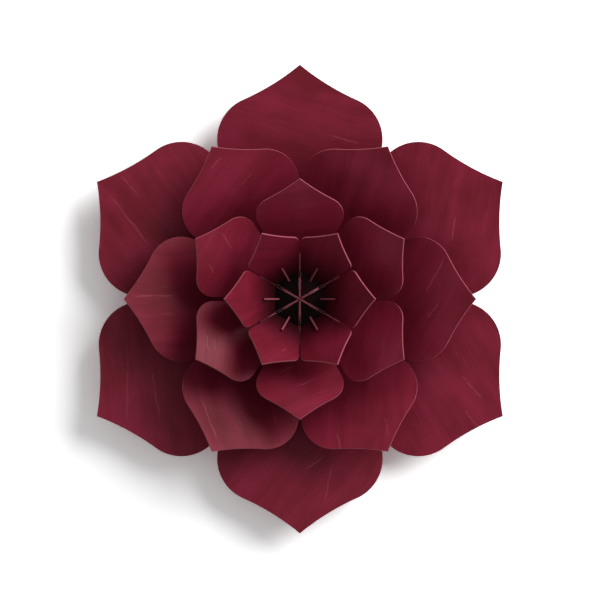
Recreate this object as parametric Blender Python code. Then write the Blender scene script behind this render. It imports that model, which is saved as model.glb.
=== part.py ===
"""A wall flower of thin stained plywood, slotted together from flat sheets.

The wall is the plane Y = 0, +Z is up and the flower faces -Y. The origin is the middle of the
back plate's rear face. Heights are measured from the wall towards the front, along -Y.

Four rings of six flat petals lean out like nested cups. Every petal is held by an egg-crate joint:
a slot in its inner end straddles a plate that stands on edge, and a notch in the plate takes the
petal. Three plates cross-lap on the flower's axis and carry the outer and the third ring. Six ribs
between them carry the second and the inner ring. All nine stand in mortises in the back plate.
"""

import math
from collections import namedtuple

import bmesh
import bpy
from mathutils import Matrix, Vector

# Sheet, and the clearance between pieces that touch, in metres
SHEET = 0.0012
GAP = 0.0003

# Six petals to a ring, so six carriers between neighbours of the ring in front
SECTOR = math.radians(60)
PETALS_IN_RING = round(2 * math.pi / SECTOR)

# A ring of petals.
# tilt is the angle of the sheet to the wall, and lift the height at which it would meet the axis.
# length is from the axis to the tip, along the sheet. shoulder_gap is from the shoulder's arc to the
# line midway to the next petal, and ogee_radius is the hollow arc from the shoulder to the tip.
# base, joint, finger and seat are distances from the axis as seen from the front: the petal's
# inner end, the bottom of its slot, and the ends of the carrier's finger over it and shelf under it.
Ring = namedtuple(
    "Ring",
    "first_angle tilt lift length half_width shoulder_radius shoulder_gap ogee_radius"
    " base joint finger seat passing_sheet",
)
OUTER = Ring(
    first_angle=SECTOR / 2,
    tilt=math.radians(8),
    lift=0.0045,
    length=0.1705,
    half_width=0.0599,
    shoulder_radius=0.0313,
    shoulder_gap=0.0017,
    ogee_radius=0.1787,
    base=0.0330,
    joint=0.0380,
    finger=0.0430,
    seat=0.0500,
    passing_sheet=SHEET,
)
SECOND = Ring(
    first_angle=0.0,
    tilt=math.radians(25),
    lift=0.0020,
    length=0.1370,
    half_width=0.0444,
    shoulder_radius=0.0258,
    shoulder_gap=0.0009,
    ogee_radius=0.1557,
    base=0.0290,
    joint=0.0340,
    finger=0.0390,
    seat=0.0480,
    passing_sheet=SHEET,
)
THIRD = Ring(
    first_angle=SECTOR / 2,
    tilt=math.radians(33),
    lift=0.0210,
    length=0.1002,
    half_width=0.0308,
    shoulder_radius=0.0145,
    shoulder_gap=0.0017,
    ogee_radius=0.1490,
    base=0.0245,
    joint=0.0285,
    finger=0.0325,
    seat=0.0380,
    passing_sheet=SHEET,
)
INNER = Ring(
    first_angle=0.0,
    tilt=math.radians(53),
    lift=0.0210,
    length=0.0868,
    half_width=0.0199,
    shoulder_radius=0.0065,
    shoulder_gap=0.0008,
    ogee_radius=0.1550,
    base=0.0180,
    joint=0.0215,
    finger=0.0250,
    seat=0.0290,
    passing_sheet=0.0,
)
RINGS = {"outer": OUTER, "second": SECOND, "third": THIRD, "inner": INNER}

# Plates that stand on edge. The core plates' middles make the star, clear of their outer arms
STAR_HEIGHT = 0.0380
STAR_REACH = 0.0156
STAR_CORNER_RADIUS = 0.0060
STAR_ROOT_HEIGHT = 0.0200
ARM_INNER_EDGE = 0.0200
RIB_INNER_EDGE = 0.0147
FINGER_DEPTH = 0.0020
TENON_SHOULDER = 0.0080
TENON_LENGTH = 0.0160

# Back plate, with a keyhole for a nail's head and shank near its rim
BACK_RIM = 0.0050
NAIL_HEAD_RADIUS = 0.0045
NAIL_SHANK_RADIUS = 0.0020
NAIL_SLOT_RISE = 0.0070
NAIL_CLEARANCE = 0.0015

# Round stretches get one point for each of these angles
ARC_STEP = math.radians(6)

# Stain colours, paler on the plates, which show their cut edges
PETAL_STAINS = {
    "outer": (0.150, 0.006, 0.013),
    "second": (0.145, 0.005, 0.012),
    "third": (0.140, 0.005, 0.011),
    "inner": (0.135, 0.004, 0.010),
}
PLATE_STAIN = (0.200, 0.030, 0.042)
BACK_STAIN = (0.060, 0.004, 0.006)
STAIN_ROUGHNESS = 0.55


def clear_scene():
    for obj in list(bpy.data.objects):
        bpy.data.objects.remove(obj, do_unlink=True)


def stained_plywood(name, colour):
    material = bpy.data.materials.new(name)
    material.use_nodes = True
    shader = material.node_tree.nodes["Principled BSDF"]
    shader.inputs["Base Color"].default_value = (*colour, 1.0)
    shader.inputs["Roughness"].default_value = STAIN_ROUGHNESS
    shader.inputs["Metallic"].default_value = 0.0
    return material


def direction(vector):
    return math.atan2(vector.y, vector.x)


def arc(centre, radius, start, end):
    """Points of an arc from one angle to another, both ends included."""
    steps = max(1, math.ceil(abs(end - start) / ARC_STEP))
    angles = [start + (end - start) * i / steps for i in range(steps + 1)]
    return [centre + radius * Vector((math.cos(a), math.sin(a))) for a in angles]


def with_mirrored(half, across):
    """Closes an outline with its mirror image; `across` is -1 on the axis that is turned over."""
    image = [Vector((p.x * across[0], p.y * across[1])) for p in reversed(half)]
    return half + image


def cut_from_sheet(name, outlines, material, collection):
    """A flat piece of the sheet. The first outline is its edge, any others are holes."""
    curve = bpy.data.curves.new(name, "CURVE")
    curve.dimensions = "2D"
    curve.fill_mode = "BOTH"
    curve.extrude = SHEET / 2
    for outline in outlines:
        spline = curve.splines.new("POLY")
        spline.points.add(len(outline) - 1)
        for point, (x, y) in zip(spline.points, outline):
            point.co = (x, y, 0.0, 1.0)
        spline.use_cyclic_u = True
    drawn = bpy.data.objects.new(name, curve)
    collection.objects.link(drawn)
    graph = bpy.context.evaluated_depsgraph_get()
    mesh = bpy.data.meshes.new_from_object(drawn.evaluated_get(graph))
    bpy.data.objects.remove(drawn)
    bpy.data.curves.remove(curve)

    # The filled faces come loose from the cut edges
    shape = bmesh.new()
    shape.from_mesh(mesh)
    bmesh.ops.remove_doubles(shape, verts=shape.verts, dist=1e-6)
    bmesh.ops.recalc_face_normals(shape, faces=shape.faces)
    shape.to_mesh(mesh)
    shape.free()
    mesh.materials.clear()
    mesh.materials.append(material)
    piece = bpy.data.objects.new(name, mesh)
    collection.objects.link(piece)
    return piece


def seen_from_front(angle):
    """Columns: outwards from the axis at this angle, across it, and away from the wall."""
    outwards = Vector((math.cos(angle), 0.0, math.sin(angle)))
    away = Vector((0.0, -1.0, 0.0))
    return Matrix((outwards, away.cross(outwards), away)).transposed().to_4x4()


def petal_place(ring, angle):
    """A petal is drawn from the axis outwards, tilted off the wall and lifted."""
    lift = Matrix.Translation((0.0, 0.0, ring.lift))
    return seen_from_front(angle) @ lift @ Matrix.Rotation(-ring.tilt, 4, "Y")


def plate_place(angle):
    """A plate on edge is drawn with x outwards and y as its height, and stood up."""
    return seen_from_front(angle) @ Matrix.Rotation(math.pi / 2, 4, "X")


def along_sheet(ring, radius):
    """Distance along a ring's sheet of what is seen from the front at this radius."""
    return radius / math.cos(ring.tilt)


def inner_corner(ring):
    """The corner of a petal's inner end, clear of its neighbour and of a plate between them."""
    half_passing = ring.passing_sheet / 2
    leaning_in = SHEET / 2 * math.sin(ring.tilt) * math.sin(SECTOR / 2)
    side_room = (half_passing + GAP + leaning_in) / math.cos(SECTOR / 2)
    return Vector((along_sheet(ring, ring.base), ring.base * math.tan(SECTOR / 2) - side_room))


def shoulder_centre(ring):
    """Far enough out for the shoulder to keep its gap to the line midway to the next petal."""
    midway = math.atan(math.tan(SECTOR / 2) * math.cos(ring.tilt))
    aside = ring.half_width - ring.shoulder_radius
    clear = ring.shoulder_radius + ring.shoulder_gap
    return Vector(((aside * math.cos(midway) + clear) / math.sin(midway), aside))


def half_petal(ring):
    """One side of a petal: from the tip down the hollow arc, round the shoulder, to the corner."""
    tip = Vector((ring.length, 0.0))
    shoulder = shoulder_centre(ring)
    corner = inner_corner(ring)

    # The hollow arc's centre lies a radius from the tip, and both radii from the shoulder's centre
    to_tip = tip - shoulder
    reach = ring.ogee_radius + ring.shoulder_radius
    along = (to_tip.length_squared + reach**2 - ring.ogee_radius**2) / (2 * to_tip.length)
    aside = math.sqrt(reach**2 - along**2)
    unit = to_tip.normalized()
    hollow = shoulder + along * unit + aside * Vector((-unit.y, unit.x))
    meeting = direction(hollow - shoulder)
    ogee = arc(hollow, ring.ogee_radius, direction(tip - hollow) + 2 * math.pi, meeting + math.pi)

    # The side is the straight line from the corner that touches the shoulder's arc
    to_shoulder = shoulder - corner
    side = direction(to_shoulder) + math.asin(ring.shoulder_radius / to_shoulder.length)
    rounded = arc(shoulder, ring.shoulder_radius, meeting, side + math.pi / 2)
    return ogee + rounded[1:] + [corner]


def petal_outline(ring):
    """The whole petal. The slot in its inner end straddles the plate that carries it."""
    half_slot = SHEET / 2 + GAP
    slot_bottom = along_sheet(ring, ring.joint) + GAP / 2
    side = half_petal(ring)
    side.append(Vector((along_sheet(ring, ring.base), half_slot)))
    side.append(Vector((slot_bottom, half_slot)))
    return with_mirrored(side, (1, -1))[:-1]


def level(ring, radius, offset):
    """Height at this radius of a line that runs parallel to the ring's sheet."""
    return ring.lift + radius * math.tan(ring.tilt) + offset / math.cos(ring.tilt)


def finger_line(ring, radius):
    """A point at this radius on the line of the finger's front edge."""
    return Vector((radius, level(ring, radius, SHEET / 2 + GAP + FINGER_DEPTH)))


def joint_profile(ring):
    """The carrier's edge at a petal: a finger over it, a notch round it, a shelf under it."""
    half_notch = SHEET / 2 + GAP
    outwards = Vector((math.cos(ring.tilt), math.sin(ring.tilt)))
    normal = Vector((-outwards.y, outwards.x))
    blind_end = Vector((0.0, ring.lift)) + outwards * (along_sheet(ring, ring.joint) - GAP / 2)
    return [
        finger_line(ring, ring.finger),
        Vector((ring.finger, level(ring, ring.finger, half_notch))),
        blind_end + normal * half_notch,
        blind_end - normal * half_notch,
        Vector((ring.seat, level(ring, ring.seat, -half_notch))),
    ]


def foot_profile(outer_end, inner_end):
    """Along the back plate towards the axis, with a tenon down into its mortise."""
    stands_at = SHEET + GAP
    tenon_near, tenon_far = tenon_span(inner_end)
    return [
        Vector((outer_end, stands_at)),
        Vector((tenon_far, stands_at)),
        Vector((tenon_far, GAP)),
        Vector((tenon_near, GAP)),
        Vector((tenon_near, stands_at)),
    ]


def tenon_span(inner_end):
    near = inner_end + TENON_SHOULDER
    return near, near + TENON_LENGTH


def rib_outline():
    """A rib carries an inner petal at its front, and a second petal lower down."""
    return (
        [finger_line(INNER, RIB_INNER_EDGE)]
        + joint_profile(INNER)
        + [finger_line(SECOND, INNER.seat)]
        + joint_profile(SECOND)
        + foot_profile(SECOND.seat, RIB_INNER_EDGE)
        + [Vector((RIB_INNER_EDGE, SHEET + GAP))]
    )


def core_plate_outline(layer, layers):
    """A core plate: half the star, and an arm on each side that carries a third and an outer petal.

    Its cross-lap cuts leave only one layer of it on the axis.
    """
    stands_at = SHEET + GAP
    layer_height = (STAR_HEIGHT - stands_at) / layers
    bottom = stands_at + layer * layer_height + GAP / 2
    top = stands_at + (layer + 1) * layer_height - GAP / 2
    half_lap = (SHEET / 2 * (1 + math.cos(SECTOR)) + GAP) / math.sin(SECTOR)

    corner = Vector((STAR_REACH - STAR_CORNER_RADIUS, STAR_HEIGHT - STAR_CORNER_RADIUS))
    half = arc(corner, STAR_CORNER_RADIUS, math.pi / 2, 0.0)
    half += [Vector((STAR_REACH, STAR_ROOT_HEIGHT)), Vector((ARM_INNER_EDGE, STAR_ROOT_HEIGHT))]
    half += [finger_line(THIRD, ARM_INNER_EDGE)]
    half += joint_profile(THIRD)
    half += [finger_line(OUTER, THIRD.seat)]
    half += joint_profile(OUTER)
    half += foot_profile(OUTER.seat, 0.0)
    if layer < layers - 1:
        half = [Vector((half_lap, top)), Vector((half_lap, STAR_HEIGHT))] + half
    if layer > 0:
        half += [Vector((half_lap, stands_at)), Vector((half_lap, bottom))]
    return with_mirrored(half, (-1, 1))


def mortise(angle, inner_end):
    """The hole that a tenon stands in, seen from the front."""
    near, far = tenon_span(inner_end)
    half = SHEET / 2 + GAP
    turn = Matrix.Rotation(angle, 2)
    corners = ((near - GAP, -half), (far + GAP, -half), (far + GAP, half), (near - GAP, half))
    return [turn @ Vector(corner) for corner in corners]


def keyhole_centres():
    """The middles of the round hole, just above the core plate, and of the slot's upper end."""
    head = Vector((0.0, OUTER.seat + NAIL_CLEARANCE + NAIL_HEAD_RADIUS))
    return head, head + Vector((0.0, NAIL_SLOT_RISE))


def keyhole():
    """A round hole that a nail's head goes through, with a narrow slot above it for the shank."""
    head, shank = keyhole_centres()
    mouth = math.asin(NAIL_SHANK_RADIUS / NAIL_HEAD_RADIUS)
    up = math.pi / 2
    hole = arc(head, NAIL_HEAD_RADIUS, up + mouth, up + 2 * math.pi - mouth)
    return hole + arc(shank, NAIL_SHANK_RADIUS, 0.0, math.pi)


def ring_angles(ring):
    return [ring.first_angle + SECTOR * i for i in range(PETALS_IN_RING)]


def build_petals(hub, collection):
    for ring_name, ring in RINGS.items():
        stain = stained_plywood(f"stain_{ring_name}", PETAL_STAINS[ring_name])
        for number, angle in enumerate(ring_angles(ring), start=1):
            name = f"petal_{ring_name}_{number}"
            petal = cut_from_sheet(name, [petal_outline(ring)], stain, collection)
            petal.parent = hub
            petal.matrix_basis = petal_place(ring, angle)


def build_plates(hub, collection):
    stain = stained_plywood("stain_plates", PLATE_STAIN)
    core_angles = ring_angles(THIRD)[: PETALS_IN_RING // 2]
    for layer, angle in enumerate(core_angles):
        outline = core_plate_outline(layer, len(core_angles))
        plate = cut_from_sheet(f"core_plate_{layer + 1}", [outline], stain, collection)
        plate.parent = hub
        plate.matrix_basis = plate_place(angle)
    for number, angle in enumerate(ring_angles(INNER), start=1):
        rib = cut_from_sheet(f"rib_{number}", [rib_outline()], stain, collection)
        rib.parent = hub
        rib.matrix_basis = plate_place(angle)


def build_back_plate(hub, collection):
    back_radius = keyhole_centres()[1].y + NAIL_SHANK_RADIUS + BACK_RIM
    rim = arc(Vector((0.0, 0.0)), back_radius, 0.0, 2 * math.pi)[:-1]
    core_mortises = [mortise(angle, 0.0) for angle in ring_angles(THIRD)]
    rib_mortises = [mortise(angle, RIB_INNER_EDGE) for angle in ring_angles(INNER)]
    outlines = [rim, keyhole()] + core_mortises + rib_mortises
    stain = stained_plywood("stain_back", BACK_STAIN)
    plate = cut_from_sheet("back_plate", outlines, stain, collection)
    plate.parent = hub
    plate.matrix_basis = seen_from_front(0.0) @ Matrix.Translation((0.0, 0.0, SHEET / 2))


def main():
    clear_scene()
    collection = bpy.data.collections.new("plywood_wall_flower")
    bpy.context.scene.collection.children.link(collection)
    hub = bpy.data.objects.new("flower_axis", None)
    collection.objects.link(hub)
    build_petals(hub, collection)
    build_plates(hub, collection)
    build_back_plate(hub, collection)


main()
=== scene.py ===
# %% [markdown]
# # A wall flower of stained plywood
#
# Twenty-four flat petals stand in four rings on slotted plates. Every piece is one flat sheet of
# birch plywood, sawn out and stained dark red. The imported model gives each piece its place. Here
# the petals are sawn again with a finer outline, softened edges and a grain of their own, and the
# plates keep their mesh and get a finish.

# %% The fixed frame
import math

import bpy
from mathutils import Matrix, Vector


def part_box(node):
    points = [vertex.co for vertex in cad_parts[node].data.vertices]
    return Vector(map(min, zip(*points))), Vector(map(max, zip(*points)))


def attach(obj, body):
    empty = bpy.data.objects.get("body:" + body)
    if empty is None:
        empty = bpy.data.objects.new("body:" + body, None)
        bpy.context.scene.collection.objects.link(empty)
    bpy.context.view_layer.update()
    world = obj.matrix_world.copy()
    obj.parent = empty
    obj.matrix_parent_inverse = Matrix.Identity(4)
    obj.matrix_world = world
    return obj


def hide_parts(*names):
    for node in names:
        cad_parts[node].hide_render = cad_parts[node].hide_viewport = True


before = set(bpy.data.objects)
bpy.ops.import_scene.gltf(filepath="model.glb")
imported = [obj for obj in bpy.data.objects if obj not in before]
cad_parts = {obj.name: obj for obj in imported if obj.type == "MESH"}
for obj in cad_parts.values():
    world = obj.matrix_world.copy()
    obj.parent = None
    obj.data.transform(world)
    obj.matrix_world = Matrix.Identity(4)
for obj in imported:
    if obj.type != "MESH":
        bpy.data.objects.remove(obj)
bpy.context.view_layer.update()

print("pieces in the frame:", len(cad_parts))

# %% [markdown]
# ## The camera
#
# The flower hangs on a wall and is seen straight from the front, from far enough away that the
# steep inner petals hide nothing behind them. The lens follows from the width of wall that fills
# the square picture.

# %% Camera
# Lengths are in metres, but a camera's sensor and lens are in millimetres
CAMERA_DISTANCE = 1.5
WALL_IN_PICTURE = 0.4404
AIM = Vector((0.0001, 0.0, -0.0007))
SENSOR_WIDTH = 36.0

camera = bpy.data.objects.new("camera", bpy.data.cameras.new("camera"))
camera.data.sensor_width = SENSOR_WIDTH
camera.data.lens = SENSOR_WIDTH * CAMERA_DISTANCE / WALL_IN_PICTURE
camera.location = AIM + Vector((0.0, -CAMERA_DISTANCE, 0.0))
camera.rotation_euler = (math.radians(90), 0.0, 0.0)
bpy.context.scene.collection.objects.link(camera)
bpy.context.scene.camera = camera
print("lens in mm:", round(camera.data.lens, 1))

# %% [markdown]
# ## Light
#
# One large soft lamp stands in front of the flower, to the right and above it, so each cup of
# petals is dark on the right and bright on the left, and a soft shadow falls on the wall, down and
# to the left. A pale room fills in the rest. Together they are plain: a sheet that faces the camera
# renders about the colour that its material gives.

# %% Lamp
# Angle between the lamp and the line to the camera, and how far that swings up from level
LAMP_ASIDE = math.radians(55)
LAMP_RAISED = math.radians(36)
LAMP_DISTANCE = 1.6
LAMP_ACROSS = 1.3
LAMP_WATTS = 28.0

lamp_data = bpy.data.lights.new("soft lamp", "AREA")
lamp_data.shape = "DISK"
lamp_data.size = LAMP_ACROSS
lamp_data.energy = LAMP_WATTS
to_lamp = Vector(
    (
        math.sin(LAMP_ASIDE) * math.cos(LAMP_RAISED),
        -math.cos(LAMP_ASIDE),
        math.sin(LAMP_ASIDE) * math.sin(LAMP_RAISED),
    )
)
lamp = bpy.data.objects.new("soft lamp", lamp_data)
lamp.location = LAMP_DISTANCE * to_lamp
lamp.rotation_euler = to_lamp.to_track_quat("Z", "Y").to_euler()
bpy.context.scene.collection.objects.link(lamp)
print("lamp stands at", [round(v, 2) for v in lamp.location])

# %% [markdown]
# ## Wires that read like sums
#
# A finish and a petal's outline are both chains of sums, and in a node tree each sum is a Math
# node. Placing them one by one hides the rule, so a small class stands for a wire: a sign between
# two wires, such as + or *, adds the Math node that joins them.


# %% Wires
def feed(socket, value):
    """Sets a socket, or joins a wire or an output to it."""
    if isinstance(value, Wire):
        value = value.socket
    if isinstance(value, bpy.types.NodeSocket):
        socket.id_data.links.new(value, socket)
    else:
        socket.default_value = value


def place(tree, kind, inputs=None, **settings):
    """Adds a node, with its settings and what feeds its sockets, by name or by number."""
    node = tree.nodes.new(kind)
    for name, value in settings.items():
        setattr(node, name, value)
    for name, value in (inputs or {}).items():
        feed(node.inputs[name], value)
    return node


class Wire:
    """A number on its way through a node tree."""

    def __init__(self, socket):
        self.socket = socket

    def math(self, operation, *others):
        inputs = dict(enumerate((self, *others)))
        node = place(self.socket.id_data, "ShaderNodeMath", inputs, operation=operation)
        return Wire(node.outputs[0])

    def __add__(self, other):
        return self.math("ADD", other)

    def __sub__(self, other):
        return self.math("SUBTRACT", other)

    def __mul__(self, other):
        return self.math("MULTIPLY", other)

    def __truediv__(self, other):
        return self.math("DIVIDE", other)

    def squared(self):
        return self * self

    def step_up(self, low, high):
        """Rises smoothly from 0 to 1 between two values."""
        limits = {"Value": self, 1: low, 2: high}
        smooth = {"interpolation_type": "SMOOTHSTEP"}
        return Wire(place(self.socket.id_data, "ShaderNodeMapRange", limits, **smooth).outputs[0])

    def step_down(self, low, high):
        return self.step_up(low, high) * -1.0 + 1.0


def point(tree, x=0.0, y=0.0, z=0.0):
    return place(tree, "ShaderNodeCombineXYZ", {"X": x, "Y": y, "Z": z}).outputs[0]


def parts_of(tree, vector):
    split = place(tree, "ShaderNodeSeparateXYZ", {"Vector": vector})
    return tuple(Wire(output) for output in split.outputs)


# %% [markdown]
# ## The wall
#
# A flat white wall stands just behind the back plate and takes the soft shadow. More lamps would
# make it white and bleach the flower, so the wall's own paint is brighter wherever it is looked at.
# A real wall would also hide the flower's back and keep it in the dark. This one can be seen through
# from behind, and it lets the room's light through to the back of the flower.


# %% Wall and room
WALL_PAINT = (0.85, 0.85, 0.85, 1.0)
WALL_AS_SEEN = (1.85, 1.85, 1.85, 1.0)
ROOM_LIGHT = 0.32


def looked_at(tree):
    """1 for rays that show the surroundings to the camera, directly, mirrored or through glass."""
    path = place(tree, "ShaderNodeLightPath").outputs
    mirrored = Wire(path["Is Camera Ray"]).math("MAXIMUM", path["Is Glossy Ray"])
    return mirrored.math("MAXIMUM", path["Is Transmission Ray"])


def white_wall():
    material = bpy.data.materials.new("white wall")
    material.use_nodes = True
    tree = material.node_tree
    tree.nodes.clear()
    seen = place(tree, "ShaderNodeBsdfDiffuse", {"Color": WALL_AS_SEEN}).outputs[0]
    plain = place(tree, "ShaderNodeBsdfDiffuse", {"Color": WALL_PAINT}).outputs[0]
    front = place(tree, "ShaderNodeMixShader", {0: looked_at(tree), 1: plain, 2: seen}).outputs[0]
    path = place(tree, "ShaderNodeLightPath").outputs
    room_light = Wire(path["Is Diffuse Ray"]).math("MAXIMUM", path["Is Shadow Ray"])
    from_behind = place(tree, "ShaderNodeNewGeometry").outputs["Backfacing"]
    let_through = room_light.math("MAXIMUM", from_behind)
    clear = place(tree, "ShaderNodeBsdfTransparent").outputs[0]
    sides = place(tree, "ShaderNodeMixShader", {0: let_through, 1: front, 2: clear}).outputs[0]
    place(tree, "ShaderNodeOutputMaterial", {"Surface": sides})
    return material


WALL_HALF_WIDTH = 0.8
WALL_BEHIND = 0.0005

wall_mesh = bpy.data.meshes.new("wall")
wall_corners = [
    (x * WALL_HALF_WIDTH, WALL_BEHIND, z * WALL_HALF_WIDTH)
    for x, z in ((-1, -1), (1, -1), (1, 1), (-1, 1))
]
wall_mesh.from_pydata(wall_corners, [], [(0, 1, 2, 3)])
wall_mesh.materials.append(white_wall())
wall = bpy.data.objects.new("wall", wall_mesh)
bpy.context.scene.collection.objects.link(wall)

room = bpy.data.worlds.new("pale room")
bpy.context.scene.world = room
room.use_nodes = True
background = room.node_tree.nodes["Background"].inputs
feed(background["Color"], (1.0, 1.0, 1.0, 1.0))
feed(background["Strength"], looked_at(room.node_tree) * (1.0 - ROOM_LIGHT) + ROOM_LIGHT)
print("wall in metres:", 2 * WALL_HALF_WIDTH, "square,", WALL_BEHIND, "behind the back plate")

# %% [markdown]
# ## The figure of the veneer
#
# Birch veneer is nearly even, but stain shows what it has: broad bands and fine streaks along the
# grain, short pale flecks, and dark hair-thin pores. A picture of veneer would repeat from piece to
# piece. Noise that is stretched along the grain doesn't, and it gives each kind of spot its real
# length and width. The effect is one node group, because every piece of the flower uses it.


# %% Helpers for a node group and for grain
def new_group(name, inputs, outputs):
    group = bpy.data.node_groups.new(name, "ShaderNodeTree")
    for label in inputs:
        group.interface.new_socket(label, in_out="INPUT", socket_type="NodeSocketFloat")
    for label in outputs:
        group.interface.new_socket(label, in_out="OUTPUT", socket_type="NodeSocketFloat")
    entry = group.nodes.new("NodeGroupInput")
    leave = group.nodes.new("NodeGroupOutput")
    return group, {label: Wire(entry.outputs[label]) for label in inputs}, leave


def grain_noise(along, across, length, width, detail, seed):
    """Noise whose spots have this length along the grain and this width across it."""
    tree = along.socket.id_data
    where = point(tree, along / length, across / width, seed)
    noise = {"Vector": where, "Scale": 1.0, "Detail": detail}
    return Wire(place(tree, "ShaderNodeTexNoise", noise).outputs[0])


# %% Spots of the figure
# Length and width in metres, then the noise's detail, and what sets its seed apart from the others
SPOTS = {
    "sway": (0.060, 0.040, 1.0, 0.0),
    "bands": (0.110, 0.0090, 2.0, 0.0),
    "streaks": (0.028, 0.0015, 3.0, 3.0),
    "threads": (0.012, 0.0004, 2.0, 5.0),
    "cloud": (0.035, 0.030, 2.0, 7.0),
    "flecks": (0.011, 0.0010, 1.0, 9.0),
    "fleck fields": (0.030, 0.016, 1.0, 11.0),
    "pores": (0.0045, 0.00022, 1.0, 13.0),
}
SWAY_ASIDE = 0.012


def spots(kind, along, across, seed):
    length, width, detail, apart = SPOTS[kind]
    return grain_noise(along, across, length, width, detail, seed + apart)


FIGURE_PUTS_OUT = ("Tone", "Flecks", "Pores", "Relief")
figure, entry, leave = new_group("Veneer figure", ("Along", "Across", "Seed"), FIGURE_PUTS_OUT)
along, seed = entry["Along"], entry["Seed"]
sway = spots("sway", along, entry["Across"], seed) - 0.5
across = entry["Across"] + sway * SWAY_ASIDE
bands = spots("bands", along, across, seed) - 0.5
streaks = spots("streaks", along, across, seed) - 0.5
threads = spots("threads", along, across, seed) - 0.5
cloud = spots("cloud", along, across, seed) - 0.5
flecks = spots("flecks", along, across, seed).step_up(0.60, 0.74)
fleck_fields = spots("fleck fields", along, across, seed).step_up(0.50, 0.64)
pores = spots("pores", along, across, seed).step_up(0.62, 0.72)
feed(leave.inputs["Tone"], bands * 0.65 + streaks * 0.40 + threads * 0.16 + cloud + 0.5)
feed(leave.inputs["Flecks"], flecks * fleck_fields)
feed(leave.inputs["Pores"], pores)
feed(leave.inputs["Relief"], streaks * 0.5 + threads * 0.7 - pores * 0.5 + 0.5)
print("nodes in the figure:", len(figure.nodes))

# %% [markdown]
# ## Pale lines
#
# Most petals have one or two thin pale lines, a resin vein or a scratch from before the stain, and
# these are what makes one petal differ from the next. Noise would put them anywhere, so each line
# has a start and an end instead. Its own coordinates, from -1 to 1 along it and in metres across
# it, are an attribute of the petal, and the line wavers and breaks up.

# %% Node group for a pale line
# Lengths along the line are shares of half of it, and the waver to its sides is in metres
WAVER_LENGTH = 0.45
WAVER_ASIDE = 0.0028
BROKEN_LENGTH = 0.30
LEAST_SHOWN = 0.35

LINE_TAKES = ("Along", "Across", "Half Width", "Seed")
pale_line, entry, leave = new_group("Pale line", LINE_TAKES, ("Mask",))
along, across, seed = entry["Along"], entry["Across"], entry["Seed"]
centre_line = across * 0.0
waver = grain_noise(along, centre_line, WAVER_LENGTH, 1.0, 2.0, seed) - 0.5
distance = (across + waver * WAVER_ASIDE).math("ABSOLUTE")
inside = (distance / entry["Half Width"]).step_down(0.0, 1.0)
ends = along.math("ABSOLUTE").step_down(0.55, 1.0)
broken = grain_noise(along, centre_line, BROKEN_LENGTH, 1.0, 2.0, seed + 4.0)
broken = broken.step_up(0.30, 0.56)
feed(leave.inputs["Mask"], inside * ends * (broken * (1.0 - LEAST_SHOWN) + LEAST_SHOWN))
print("nodes in a pale line:", len(pale_line.nodes))

# %% [markdown]
# ## Stained veneer
#
# The stain is thin, so it is darkest where the wood drinks most. Tone picks a red between a deep
# one and a worn one, flecks and pale lines lift it towards pink, and pores sink it. Towards the root
# of each petal a near-black red is mixed in as painted shade, and in the steep cup in the middle it
# is almost black. The film on top is dull and follows the wood, so roughness and a faint relief come
# from the same figure.

# %% Stained veneer
DEEP_STAIN = (0.132, 0.0040, 0.0130, 1.0)
WORN_STAIN = (0.234, 0.0130, 0.0380, 1.0)
PALE_WOOD = (0.450, 0.0850, 0.1150, 1.0)
PORE_STAIN = (0.060, 0.0010, 0.0030, 1.0)
# Near-black red mixed in as painted shade: at petal roots, on deep plate edges and on the back
# plate's front
PAINTED_SHADE_RED = (0.014, 0.0003, 0.0008, 1.0)
PETAL_GLOSS = 0.16
EDGE_GLOSS = 0.18
ROUGHNESS = 0.50
SMOOTHER_WHERE_PALE = 0.10
RELIEF_STRENGTH = 0.35
RELIEF_HEIGHT = 0.00006
FLECK_SHARE = 0.13
PORE_SHARE = 0.20


def mixed(tree, factor, start, end):
    mix = place(tree, "ShaderNodeMix", {0: factor, 6: start, 7: end}, data_type="RGBA")
    return mix.outputs[2]


def new_finish(name, specular):
    """A material with its shader, ready for what changes over the surface."""
    material = bpy.data.materials.new(name)
    material.use_nodes = True
    tree = material.node_tree
    shader = tree.nodes["Principled BSDF"]
    feed(shader.inputs["Specular IOR Level"], specular)
    return material, tree, shader


def use_figure(tree, along, across, seed):
    node = place(tree, "ShaderNodeGroup", node_tree=figure)
    for label, value in (("Along", along), ("Across", across), ("Seed", seed)):
        feed(node.inputs[label], value)
    return {output.name: Wire(output) for output in node.outputs}


def stained_colour(tree, veneer, lines=()):
    colour = mixed(tree, veneer["Tone"].step_up(0.10, 0.90), DEEP_STAIN, WORN_STAIN)
    colour = mixed(tree, veneer["Flecks"] * FLECK_SHARE, colour, PALE_WOOD)
    colour = mixed(tree, veneer["Pores"] * PORE_SHARE, colour, PORE_STAIN)
    for mask, share in lines:
        colour = mixed(tree, mask * share, colour, PALE_WOOD)
    return colour


def finish_veneer(tree, shader, veneer, colour):
    feed(shader.inputs["Base Color"], colour)
    feed(shader.inputs["Roughness"], veneer["Tone"] * -SMOOTHER_WHERE_PALE + ROUGHNESS)
    relief = {"Strength": RELIEF_STRENGTH, "Distance": RELIEF_HEIGHT, "Height": veneer["Relief"]}
    feed(shader.inputs["Normal"], place(tree, "ShaderNodeBump", relief).outputs[0])


print("red of the stain from deep to worn:", DEEP_STAIN[0], WORN_STAIN[0])


# %% The face of a petal
# Half the width of each line in metres, and how much of the pale wood shows in it
LINE_LOOKS = {"pale_line_1": (0.0009, 0.36), "pale_line_2": (0.0011, 0.23)}
LINE_SEEDS_PER_METRE = 40.0


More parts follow.
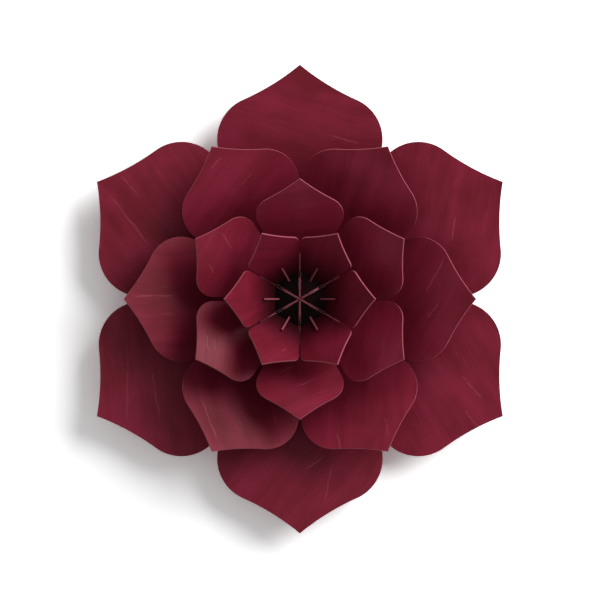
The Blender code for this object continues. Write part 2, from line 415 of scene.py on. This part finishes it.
def petal_face(name, seed, painted_shade):
    """Stained veneer, darkened towards each petal's root with painted shade; the last argument is
    the ring's row of the root shade table.
    """
    material, tree, shader = new_finish(name, PETAL_GLOSS)
    grain = place(tree, "ShaderNodeUVMap", uv_map="grain").outputs[0]
    along, across, _ = parts_of(tree, grain)
    veneer = use_figure(tree, along, across, seed)
    lines = []
    for line_name, (half_width, share) in LINE_LOOKS.items():
        where = place(tree, "ShaderNodeAttribute", attribute_name=line_name).outputs["Vector"]
        line_along, line_across, _ = parts_of(tree, where)
        line = place(tree, "ShaderNodeGroup", node_tree=pale_line)
        feed(line.inputs["Along"], line_along)
        feed(line.inputs["Across"], line_across)
        feed(line.inputs["Half Width"], half_width)
        feed(line.inputs["Seed"], across * LINE_SEEDS_PER_METRE)
        lines.append((Wire(line.outputs[0]), share))
    colour = stained_colour(tree, veneer, lines)
    # Painted shade: the near-black red is mixed in more towards the petal's root
    root, clear_of_root, share_at_root, share_at_tip = painted_shade
    sheet_x, _, _ = parts_of(tree, place(tree, "ShaderNodeUVMap", uv_map="sheet").outputs[0])
    share = sheet_x.step_down(root, clear_of_root) * (share_at_root - share_at_tip) + share_at_tip
    finish_veneer(tree, shader, veneer, mixed(tree, share, colour, PAINTED_SHADE_RED))
    return material


# %% [markdown]
# ## Cut edges
#
# The saw leaves the three plies open at the edge, and the stain stays paler there than on the
# sanded face. These thin edges catch the lamp and draw the outline of each petal. The middle ply
# shows its end grain and is a little darker. Three layers of mesh would cost faces that only this
# thin line shows, so how deep a point lies in the sheet picks the ply.

# %% Cut edge
EDGE_STAIN = (0.440, 0.1150, 0.1550, 1.0)
MIDDLE_PLY = (0.300, 0.0560, 0.0820, 1.0)
MIDDLE_PLY_HALF = 0.00022
MIDDLE_PLY_SHARE = 0.8
END_GRAIN_PER_METRE = 420.0
END_GRAIN_SHARE = 0.45
EDGE_ROUGHNESS = 0.60


def edge_colour(tree, depth, spot):
    """The plies of a cut edge; `depth` is in metres from the middle of the sheet."""
    middle = depth.math("ABSOLUTE").step_down(MIDDLE_PLY_HALF * 0.8, MIDDLE_PLY_HALF * 1.3)
    noise = {"Vector": spot, "Scale": END_GRAIN_PER_METRE, "Detail": 2.0}
    uneven = Wire(place(tree, "ShaderNodeTexNoise", noise).outputs[0])
    colour = mixed(tree, middle * MIDDLE_PLY_SHARE, EDGE_STAIN, MIDDLE_PLY)
    return mixed(tree, uneven.step_up(0.42, 0.75) * END_GRAIN_SHARE, colour, MIDDLE_PLY)


cut_edge, tree, shader = new_finish("Cut plywood edge", EDGE_GLOSS)
_, depth, _ = parts_of(tree, place(tree, "ShaderNodeUVMap", uv_map="sheet").outputs[0])
spot = place(tree, "ShaderNodeTexCoord").outputs["Object"]
feed(shader.inputs["Base Color"], edge_colour(tree, depth, spot))
feed(shader.inputs["Roughness"], EDGE_ROUGHNESS)
print("half of the middle ply in mm:", 1000 * MIDDLE_PLY_HALF)

# %% [markdown]
# ## A petal from its sizes
#
# Seen flat, half a petal is a hollow arc from the tip, a round shoulder, a straight side to the
# inner corner, and half of the slot that straddles its plate. Drawing 24 outlines by hand would
# lose the rule, so one Geometry Nodes tree draws them all from named sizes.

# %% The tree and its sizes
PETAL_SIZES = (
    "Sheet",
    "Gap",
    "Sector",
    "Tilt",
    "Lift",
    "Length",
    "Half Width",
    "Shoulder Radius",
    "Shoulder Gap",
    "Ogee Radius",
    "Inner End",
    "Slot End",
    "Passing Sheet",
    "Turn",
    "Grain Turn",
    "Grain Shift",
)
LINE_ENDS = ("Line 1 Start", "Line 1 End", "Line 2 Start", "Line 2 End")

saw = bpy.data.node_groups.new("Sawn petal", "GeometryNodeTree")
for label in PETAL_SIZES:
    saw.interface.new_socket(label, in_out="INPUT", socket_type="NodeSocketFloat")
for label in LINE_ENDS:
    saw.interface.new_socket(label, in_out="INPUT", socket_type="NodeSocketVector")
for label in ("Face", "Edge"):
    saw.interface.new_socket(label, in_out="INPUT", socket_type="NodeSocketMaterial")
saw.interface.new_socket("Petal", in_out="OUTPUT", socket_type="NodeSocketGeometry")
saw_entry = saw.nodes.new("NodeGroupInput")
size = {label: Wire(saw_entry.outputs[label]) for label in PETAL_SIZES}
print("named sizes of a petal:", len(PETAL_SIZES))

# %% Inner corner and shoulder
tilt, sheet = size["Tilt"], size["Sheet"]
half_sector = size["Sector"] / 2.0
leaning_in = sheet / 2.0 * tilt.math("SINE") * half_sector.math("SINE")
side_room = (size["Passing Sheet"] / 2.0 + size["Gap"] + leaning_in) / half_sector.math("COSINE")
inner_end = size["Inner End"] / tilt.math("COSINE")
corner = (inner_end, size["Inner End"] * half_sector.math("TANGENT") - side_room)

midway = (half_sector.math("TANGENT") * tilt.math("COSINE")).math("ARCTANGENT")
shoulder_radius = size["Shoulder Radius"]
aside = size["Half Width"] - shoulder_radius
clear = shoulder_radius + size["Shoulder Gap"]
shoulder = ((aside * midway.math("COSINE") + clear) / midway.math("SINE"), aside)
print("nodes with the corner and the shoulder:", len(saw.nodes))

# %% Centre of the hollow arc
ogee_radius, length = size["Ogee Radius"], size["Length"]
tip_x, tip_y = length - shoulder[0], aside * -1.0
tip_away = (tip_x.squared() + tip_y.squared()).math("SQRT")
reach = ogee_radius + shoulder_radius
forward = (tip_away.squared() + reach.squared() - ogee_radius.squared()) / (tip_away * 2.0)
sideways = (reach.squared() - forward.squared()).math("SQRT")
hollow = (
    shoulder[0] + (forward * tip_x - sideways * tip_y) / tip_away,
    shoulder[1] + (forward * tip_y + sideways * tip_x) / tip_away,
)
print("nodes with the hollow arc's centre:", len(saw.nodes))


# %% The two arcs
OGEE_POINTS = 20
SHOULDER_POINTS = 36


def turned(away_y, away_x):
    return away_y.math("ARCTAN2", away_x)


def arc(centre, radius, start, sweep, points):
    settings = {"Resolution": points, "Radius": radius, "Start Angle": start, "Sweep Angle": sweep}
    drawn = place(saw, "GeometryNodeCurveArc", settings, mode="RADIUS")
    moved = {"Geometry": drawn.outputs[0], "Translation": point(saw, *centre)}
    return place(saw, "GeometryNodeTransform", moved).outputs[0]


meeting = turned(hollow[1] - shoulder[1], hollow[0] - shoulder[0])
tip_turn = turned(hollow[1] * -1.0, length - hollow[0])
ogee_arc = arc(hollow, ogee_radius, tip_turn, meeting - tip_turn - math.pi, OGEE_POINTS)

from_corner = (shoulder[0] - corner[0], shoulder[1] - corner[1])
corner_away = (from_corner[0].squared() + from_corner[1].squared()).math("SQRT")
side = turned(from_corner[1], from_corner[0]) + (shoulder_radius / corner_away).math("ARCSINE")
shoulder_end = side + math.pi / 2
shoulder_sweep = shoulder_end - meeting
shoulder_arc = arc(shoulder, shoulder_radius, meeting, shoulder_sweep, SHOULDER_POINTS)
print("points on the arcs of half a petal:", OGEE_POINTS + SHOULDER_POINTS - 1)


# %% Straight sides and the slot
def line(start, end):
    ends = {"Start": point(saw, *start), "End": point(saw, *end)}
    return place(saw, "GeometryNodeCurvePrimitiveLine", ends, mode="POINTS").outputs[0]


def joined(geometries):
    join = place(saw, "GeometryNodeJoinGeometry")
    for geometry in geometries:
        feed(join.inputs[0], geometry)
    return join.outputs[0]


half_slot = sheet / 2.0 + size["Gap"]
slot_end = size["Slot End"] / tilt.math("COSINE") + size["Gap"] / 2.0
shoulder_foot = (
    shoulder[0] + shoulder_radius * shoulder_end.math("COSINE"),
    shoulder[1] + shoulder_radius * shoulder_end.math("SINE"),
)
half_outline = [
    ogee_arc,
    shoulder_arc,
    line(shoulder_foot, corner),
    line(corner, (inner_end, half_slot)),
    line((inner_end, half_slot), (slot_end, half_slot)),
    line((slot_end, half_slot), (slot_end,)),
]
print("pieces of half an outline:", len(half_outline))

# %% [markdown]
# ## From outline to sheet
#
# A petal is sawn from sheet, so it is modelled that way too: the half outline and its mirror image
# are merged into one closed line, filled, and drawn out to the thickness of the sheet. Before the
# flat petal is tilted and stood up, it stores what its finish needs: coordinates along and across
# its own grain, its depth in the sheet, and its two pale lines.

# %% Filled and drawn out
# Points that are nearer than this many metres become one
NEAR = 0.00001

half_wire = place(saw, "GeometryNodeCurveToMesh", {0: joined(half_outline)}).outputs[0]
mirrored = {"Geometry": half_wire, "Scale": (1.0, -1.0, 1.0)}
mirrored = place(saw, "GeometryNodeTransform", mirrored).outputs[0]
closed = {"Geometry": joined((half_wire, mirrored)), "Distance": NEAR}
closed = place(saw, "GeometryNodeMergeByDistance", closed)
outline = place(saw, "GeometryNodeMeshToCurve", {"Mesh": closed.outputs[0]}).outputs[0]
filled = place(saw, "GeometryNodeFillCurve", {"Curve": outline}, mode="NGONS").outputs[0]
up = {"Mesh": filled, "Offset": point(saw, z=1.0), "Offset Scale": sheet, "Individual": False}
drawn_out = place(saw, "GeometryNodeExtrudeMesh", up, mode="FACES")
underside = place(saw, "GeometryNodeFlipFaces", {"Mesh": filled}).outputs[0]
solid = place(
    saw,
    "GeometryNodeMergeByDistance",
    {"Geometry": joined((drawn_out.outputs["Mesh"], underside)), "Distance": NEAR},
)
centred = {"Geometry": solid.outputs[0], "Translation": point(saw, z=sheet / -2.0)}
flat_petal = place(saw, "GeometryNodeTransform", centred).outputs[0]
print("nodes up to the flat petal:", len(saw.nodes))


# %% What the finish reads
SHIFT_ACROSS = 0.37


def stored(geometry, name, kind, value):
    settings = {"Geometry": geometry, "Name": name, "Value": value}
    store = place(saw, "GeometryNodeStoreNamedAttribute", data_type=kind, domain="CORNER")
    for label, setting in settings.items():
        feed(store.inputs[label], setting)
    return store.outputs[0]


def vector_sum(operation, first, second=None):
    inputs = {0: first} if second is None else {0: first, 1: second}
    return place(saw, "ShaderNodeVectorMath", inputs, operation=operation)


position = place(saw, "GeometryNodeInputPosition").outputs[0]
x, y, z = parts_of(saw, position)
grain_cos, grain_sin = size["Grain Turn"].math("COSINE"), size["Grain Turn"].math("SINE")
along_grain = x * grain_cos + y * grain_sin + size["Grain Shift"]
across_grain = y * grain_cos - x * grain_sin + size["Grain Shift"] * SHIFT_ACROSS
geometry = stored(flat_petal, "grain", "FLOAT2", point(saw, along_grain, across_grain))
geometry = stored(geometry, "sheet", "FLOAT2", point(saw, x, z))
for number in (1, 2):
    start, end = (saw_entry.outputs[f"Line {number} {which}"] for which in ("Start", "End"))
    whole = vector_sum("SUBTRACT", end, start).outputs[0]
    heading = parts_of(saw, vector_sum("NORMALIZE", whole).outputs[0])
    half_length = Wire(vector_sum("LENGTH", whole).outputs["Value"]) / 2.0
    from_start = parts_of(saw, vector_sum("SUBTRACT", position, start).outputs[0])
    along_line = (from_start[0] * heading[0] + from_start[1] * heading[1]) / half_length - 1.0
    across_line = from_start[1] * heading[0] - from_start[0] * heading[1]
    on_line = point(saw, along_line, across_line)
    geometry = stored(geometry, f"pale_line_{number}", "FLOAT_VECTOR", on_line)
print("nodes with what the finish reads:", len(saw.nodes))

# %% Tilted, turned and stood up on the wall
IN_PLACE = (0.0, 0.0, 0.0)

for turn, lift in (
    (point(saw, y=tilt * -1.0), point(saw, z=size["Lift"])),
    (point(saw, z=size["Turn"]), IN_PLACE),
    (point(saw, x=math.radians(90)), IN_PLACE),
):
    tilted = {"Geometry": geometry, "Rotation": turn, "Translation": lift}
    geometry = place(saw, "GeometryNodeTransform", tilted).outputs[0]

realized = place(saw, "GeometryNodeRealizeInstances", {"Geometry": geometry}).outputs[0]
faces = {"Geometry": realized, "Material": saw_entry.outputs["Face"]}
edges = {"Selection": drawn_out.outputs["Side"], "Material": saw_entry.outputs["Edge"]}
edges["Geometry"] = place(saw, "GeometryNodeSetMaterial", faces).outputs[0]
finished = place(saw, "GeometryNodeSetMaterial", edges).outputs[0]
place(saw, "NodeGroupOutput", {0: finished})
print("nodes in the petal's tree:", len(saw.nodes))

# %% [markdown]
# ## Four rings of petals
#
# The outer ring lies almost flat on the wall, and each ring in front of it is smaller and steeper,
# down to a cup in the middle. These are the sizes that the plates' slots were cut for, so a table
# holds them and nothing is shaped by eye. Veneer runs any way through a petal, so each has its own
# grain, given here as it is seen from the front.

# %% Sizes of the rings
# Lengths are in metres and angles in degrees
SHEET = 0.0012
GAP = 0.0003
SECTOR = math.radians(60)
PETALS_IN_RING = 6

RING_LABELS = (
    "Turn",
    "Tilt",
    "Lift",
    "Length",
    "Half Width",
    "Shoulder Radius",
    "Shoulder Gap",
    "Ogee Radius",
    "Inner End",
    "Slot End",
    "Passing Sheet",
)
RINGS = {
    "outer": (30, 8, 0.0045, 0.1705, 0.0599, 0.0313, 0.0017, 0.1787, 0.0330, 0.0380, SHEET),
    "second": (0, 25, 0.0020, 0.1370, 0.0444, 0.0258, 0.0009, 0.1557, 0.0290, 0.0340, SHEET),
    "third": (30, 33, 0.0210, 0.1002, 0.0308, 0.0145, 0.0017, 0.1490, 0.0245, 0.0285, SHEET),
    "inner": (0, 53, 0.0210, 0.0868, 0.0199, 0.0065, 0.0008, 0.1550, 0.0180, 0.0215, 0.0),
}
GRAIN_SEEN = {
    "outer": (82, -14, -52, -84, 52, -55),
    "second": (58, 72, 50, 0, -70, 86),
    "third": (76, 8, 64, 86, 20, 80),
    "inner": (60, 75, 10, 20, 30, 80),
}
for ring_name, (_, ring_tilt, _, ring_length, *_) in RINGS.items():
    tip = 1000 * ring_length * math.cos(math.radians(ring_tilt))
    print(ring_name, "tips from the axis in mm, seen from the front:", round(tip, 1))

# %% Pale lines on the petals
# From and to, in millimetres along and across the petal. A line that a petal lacks is far away.
PALE_LINES = {
    "outer_1": (((129.6, -3.2), (116.5, -19.5)),),
    "outer_2": (((120.0, -20.8), (113.5, -43.7)),),
    "outer_3": (((159.6, 2.7), (112.2, 21.9)), ((159.2, -12.5), (136.3, -5.1))),
    "outer_4": (((118.1, -14.1), (133.7, 28.3)), ((125.6, -33.6), (155.7, 17.6))),
    "outer_5": (((125.5, 3.0), (114.6, 18.3)), ((119.0, 23.7), (150.0, 17.5))),
    "outer_6": (((128.9, 11.2), (153.2, 2.7)), ((144.0, -9.3), (159.2, -16.4))),
    "second_1": (((114.0, 29.4), (98.0, 2.8)), ((109.0, -3.1), (99.9, -14.2))),
    "second_3": (((127.1, -3.0), (122.7, 9.2)), ((100.4, -3.3), (104.7, -16.3))),
    "second_4": (((132.0, -2.1), (96.3, -2.5)), ((109.6, 10.7), (98.9, 10.4))),
    "second_5": (((105.7, -25.8), (129.6, 1.5)), ((86.5, 23.1), (94.6, 29.9))),
    "second_6": (((105.0, -24.4), (118.3, -28.3)), ((112.1, 11.2), (129.9, 4.7))),
    "third_3": (((84.4, -13.4), (70.0, -6.0)), ((82.0, 9.8), (72.9, 15.0))),
    "third_4": (((82.3, -12.2), (88.5, 0.0)), ((78.7, -6.4), (83.6, 2.5))),
    "third_5": (((74.5, -3.4), (67.2, 12.5)), ((61.6, -14.0), (56.6, -2.7))),
    "inner_5": (((64.3, 7.1), (58.4, 9.5)),),
}
FAR_AWAY = ((9000.0, 0.0), (9001.0, 0.0))
print("petals with pale lines:", len(PALE_LINES), "of", PETALS_IN_RING * len(RINGS))

# %% Painted shade at the roots
# The root and where a petal is clear of it, in metres along the sheet, and the share of painted
# shade, a near-black red, at the root and at the tip
ROOT_SHADE = {
    "outer": (0.085, 0.135, 0.30, 0.0),
    "second": (0.075, 0.115, 0.38, 0.0),
    "third": (0.055, 0.085, 0.26, 0.02),
    "inner": (0.028, 0.064, 0.97, 0.12),
}
# The ring with the most painted shade at its roots
print("most pooled stain:", max(ROOT_SHADE, key=lambda ring_name: ROOT_SHADE[ring_name][2]), "petals")


# %% Sawing a petal
# Each petal takes its grain from another place in the veneer, this many metres on
NEXT_IN_VENEER = 0.41
ARRIS = 0.00012
ARRIS_SEGMENTS = 2
ARRIS_SHARPER_THAN = math.radians(50)


def petal_values(ring_name, number):
    """What goes into the tree's named inputs for one petal."""
    values = dict(zip(RING_LABELS, RINGS[ring_name]), Sheet=SHEET, Gap=GAP, Sector=SECTOR)
    turn = math.radians(values["Turn"]) + SECTOR * (number - 1)
    seen = math.radians(GRAIN_SEEN[ring_name][number - 1]) - turn
    values["Tilt"] = math.radians(values["Tilt"])
    values["Turn"] = turn
    values["Grain Turn"] = math.atan2(math.sin(seen) * math.cos(values["Tilt"]), math.cos(seen))
    values["Grain Shift"] = NEXT_IN_VENEER * number
    lines = PALE_LINES.get(f"{ring_name}_{number}", ())
    for line_number in (1, 2):
        ends = lines[line_number - 1] if line_number <= len(lines) else FAR_AWAY
        for which, (x, y) in zip(("Start", "End"), ends):
            values[f"Line {line_number} {which}"] = (x / 1000, y / 1000, 0.0)
    values["Face"] = petal_faces[ring_name]
    values["Edge"] = cut_edge
    return values


def sawn(name, values):
    """A plain mesh object made by the tree, with its sharp edges softened."""
    piece = bpy.data.objects.new(name, bpy.data.meshes.new(name))
    bpy.context.scene.collection.objects.link(piece)
    made = piece.modifiers.new("Sawn petal", "NODES")
    made.node_group = saw
    for item in saw.interface.items_tree:
        if item.in_out == "INPUT":
            made[item.identifier] = values[item.name]
    soft = piece.modifiers.new("Sanded arris", "BEVEL")
    soft.width = ARRIS
    soft.segments = ARRIS_SEGMENTS
    soft.limit_method = "ANGLE"
    soft.angle_limit = ARRIS_SHARPER_THAN
    soft.harden_normals = True
    finished_piece = piece.evaluated_get(bpy.context.evaluated_depsgraph_get())
    mesh = bpy.data.meshes.new_from_object(finished_piece)
    piece.modifiers.clear()
    piece.data = mesh
    return piece


# %% All the petals
VENEER_SEEDS = {"outer": 0.0, "second": 20.0, "third": 40.0, "inner": 60.0}
petal_faces = {
    ring_name: petal_face(f"Stained veneer of the {ring_name} petals", seed, ROOT_SHADE[ring_name])
    for ring_name, seed in VENEER_SEEDS.items()
}
for ring_name in RINGS:
    for number in range(1, PETALS_IN_RING + 1):
        node_name = f"petal_{ring_name}_{number}"
        petal = sawn(f"sawn_{node_name}", petal_values(ring_name, number))
        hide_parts(node_name)
        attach(petal, "root")
    low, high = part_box(node_name)
    print(ring_name, "petal:", len(petal.data.polygons), "faces, box of the last one in mm:")
    print("   ", [round(1000 * v, 1) for v in (*low, *high)])

# %% [markdown]
# ## Plates and ribs
#
# Nine plates stand on edge on planes through the flower's axis, 30 degrees apart. Their meshes are
# right as they are, so only the finish is new. From the front only their cut front edges show. Those
# that lie deep get a near-black red as painted shade, so the star's six arms end where the plates
# step down. One material can tell a cut edge from a face, because every plate's face looks sideways
# round the axis.

# %% Plates on edge
PLATE_STEP = SECTOR / 2
# Heights from the wall in metres: above the first the cut edges get the least painted shade, below
# the second the most
PALE_ABOVE = 0.0340
DARK_BELOW = 0.0240
LEAST_PAINTED_SHADE = 0.22
MOST_PAINTED_SHADE = 0.95
PLATE_SEED = 80.0
NEXT_PLATE_IN_VENEER = 0.2

plate_finish, tree, shader = new_finish("Stained plates and ribs", EDGE_GLOSS)
coordinates = place(tree, "ShaderNodeTexCoord")
x, y, z = parts_of(tree, coordinates.outputs["Object"])
radius = (x.squared() + z.squared()).math("SQRT")
plate_turn = (z.math("ARCTAN2", x) / PLATE_STEP).math("ROUND") * PLATE_STEP
aside_x, aside_z = plate_turn.math("SINE") * -1.0, plate_turn.math("COSINE")
depth = x * aside_x + z * aside_z
normal_x, _, normal_z = parts_of(tree, coordinates.outputs["Normal"])
on_edge = (normal_x * aside_x + normal_z * aside_z).math("ABSOLUTE").step_down(0.4, 0.6)
veneer = use_figure(tree, y + plate_turn * NEXT_PLATE_IN_VENEER, radius, PLATE_SEED)
edge = edge_colour(tree, depth, coordinates.outputs["Object"])
# Painted shade: the cut edges darken the nearer they lie to the wall
painted_shade = y.step_up(-PALE_ABOVE, -DARK_BELOW) * (MOST_PAINTED_SHADE - LEAST_PAINTED_SHADE) + LEAST_PAINTED_SHADE
edge = mixed(tree, painted_shade, edge, PAINTED_SHADE_RED)
colour = mixed(tree, on_edge, stained_colour(tree, veneer), edge)
finish_veneer(tree, shader, veneer, colour)
plates = [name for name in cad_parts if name.startswith(("core_plate", "rib"))]
for name in plates:
    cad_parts[name].data.materials.clear()
    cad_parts[name].data.materials.append(plate_finish)
print("plates and ribs with a finish:", len(plates))

# %% [markdown]
# ## Back plate
#
# A round plate holds the tenons of the plates and ribs, and a nail in the wall goes through its
# keyhole. Its rear was stained with the rest, so it gets the same veneer with a level grain. Its
# front is the dark bottom of the cup, made near-black as painted shade. One material tells them
# apart by which way the surface looks.

# %% Back plate
BACK_SEED = 100.0

back_finish, tree, shader = new_finish("Stained back plate", PETAL_GLOSS)
coordinates = place(tree, "ShaderNodeTexCoord").outputs
x, _, z = parts_of(tree, coordinates["Object"])
veneer = use_figure(tree, x, z, BACK_SEED)
_, rearward, _ = parts_of(tree, coordinates["Normal"])
# Painted shade: the front of the back plate, at the bottom of the cup, is made near-black
in_the_cup = rearward.step_down(-0.5, 0.5)
colour = mixed(tree, in_the_cup * MOST_PAINTED_SHADE, stained_colour(tree, veneer), PAINTED_SHADE_RED)
finish_veneer(tree, shader, veneer, colour)
back_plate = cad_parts["back_plate"]
back_plate.data.materials.clear()
back_plate.data.materials.append(back_finish)
print("triangles of the back plate:", len(back_plate.data.polygons))

# %% [markdown]
# ## Size and view
#
# The sawn petals stand where the frame has them, so the box of the finished flower is that of the
# frame.

# %% View transform
bpy.context.scene.view_settings.view_transform = "Standard"
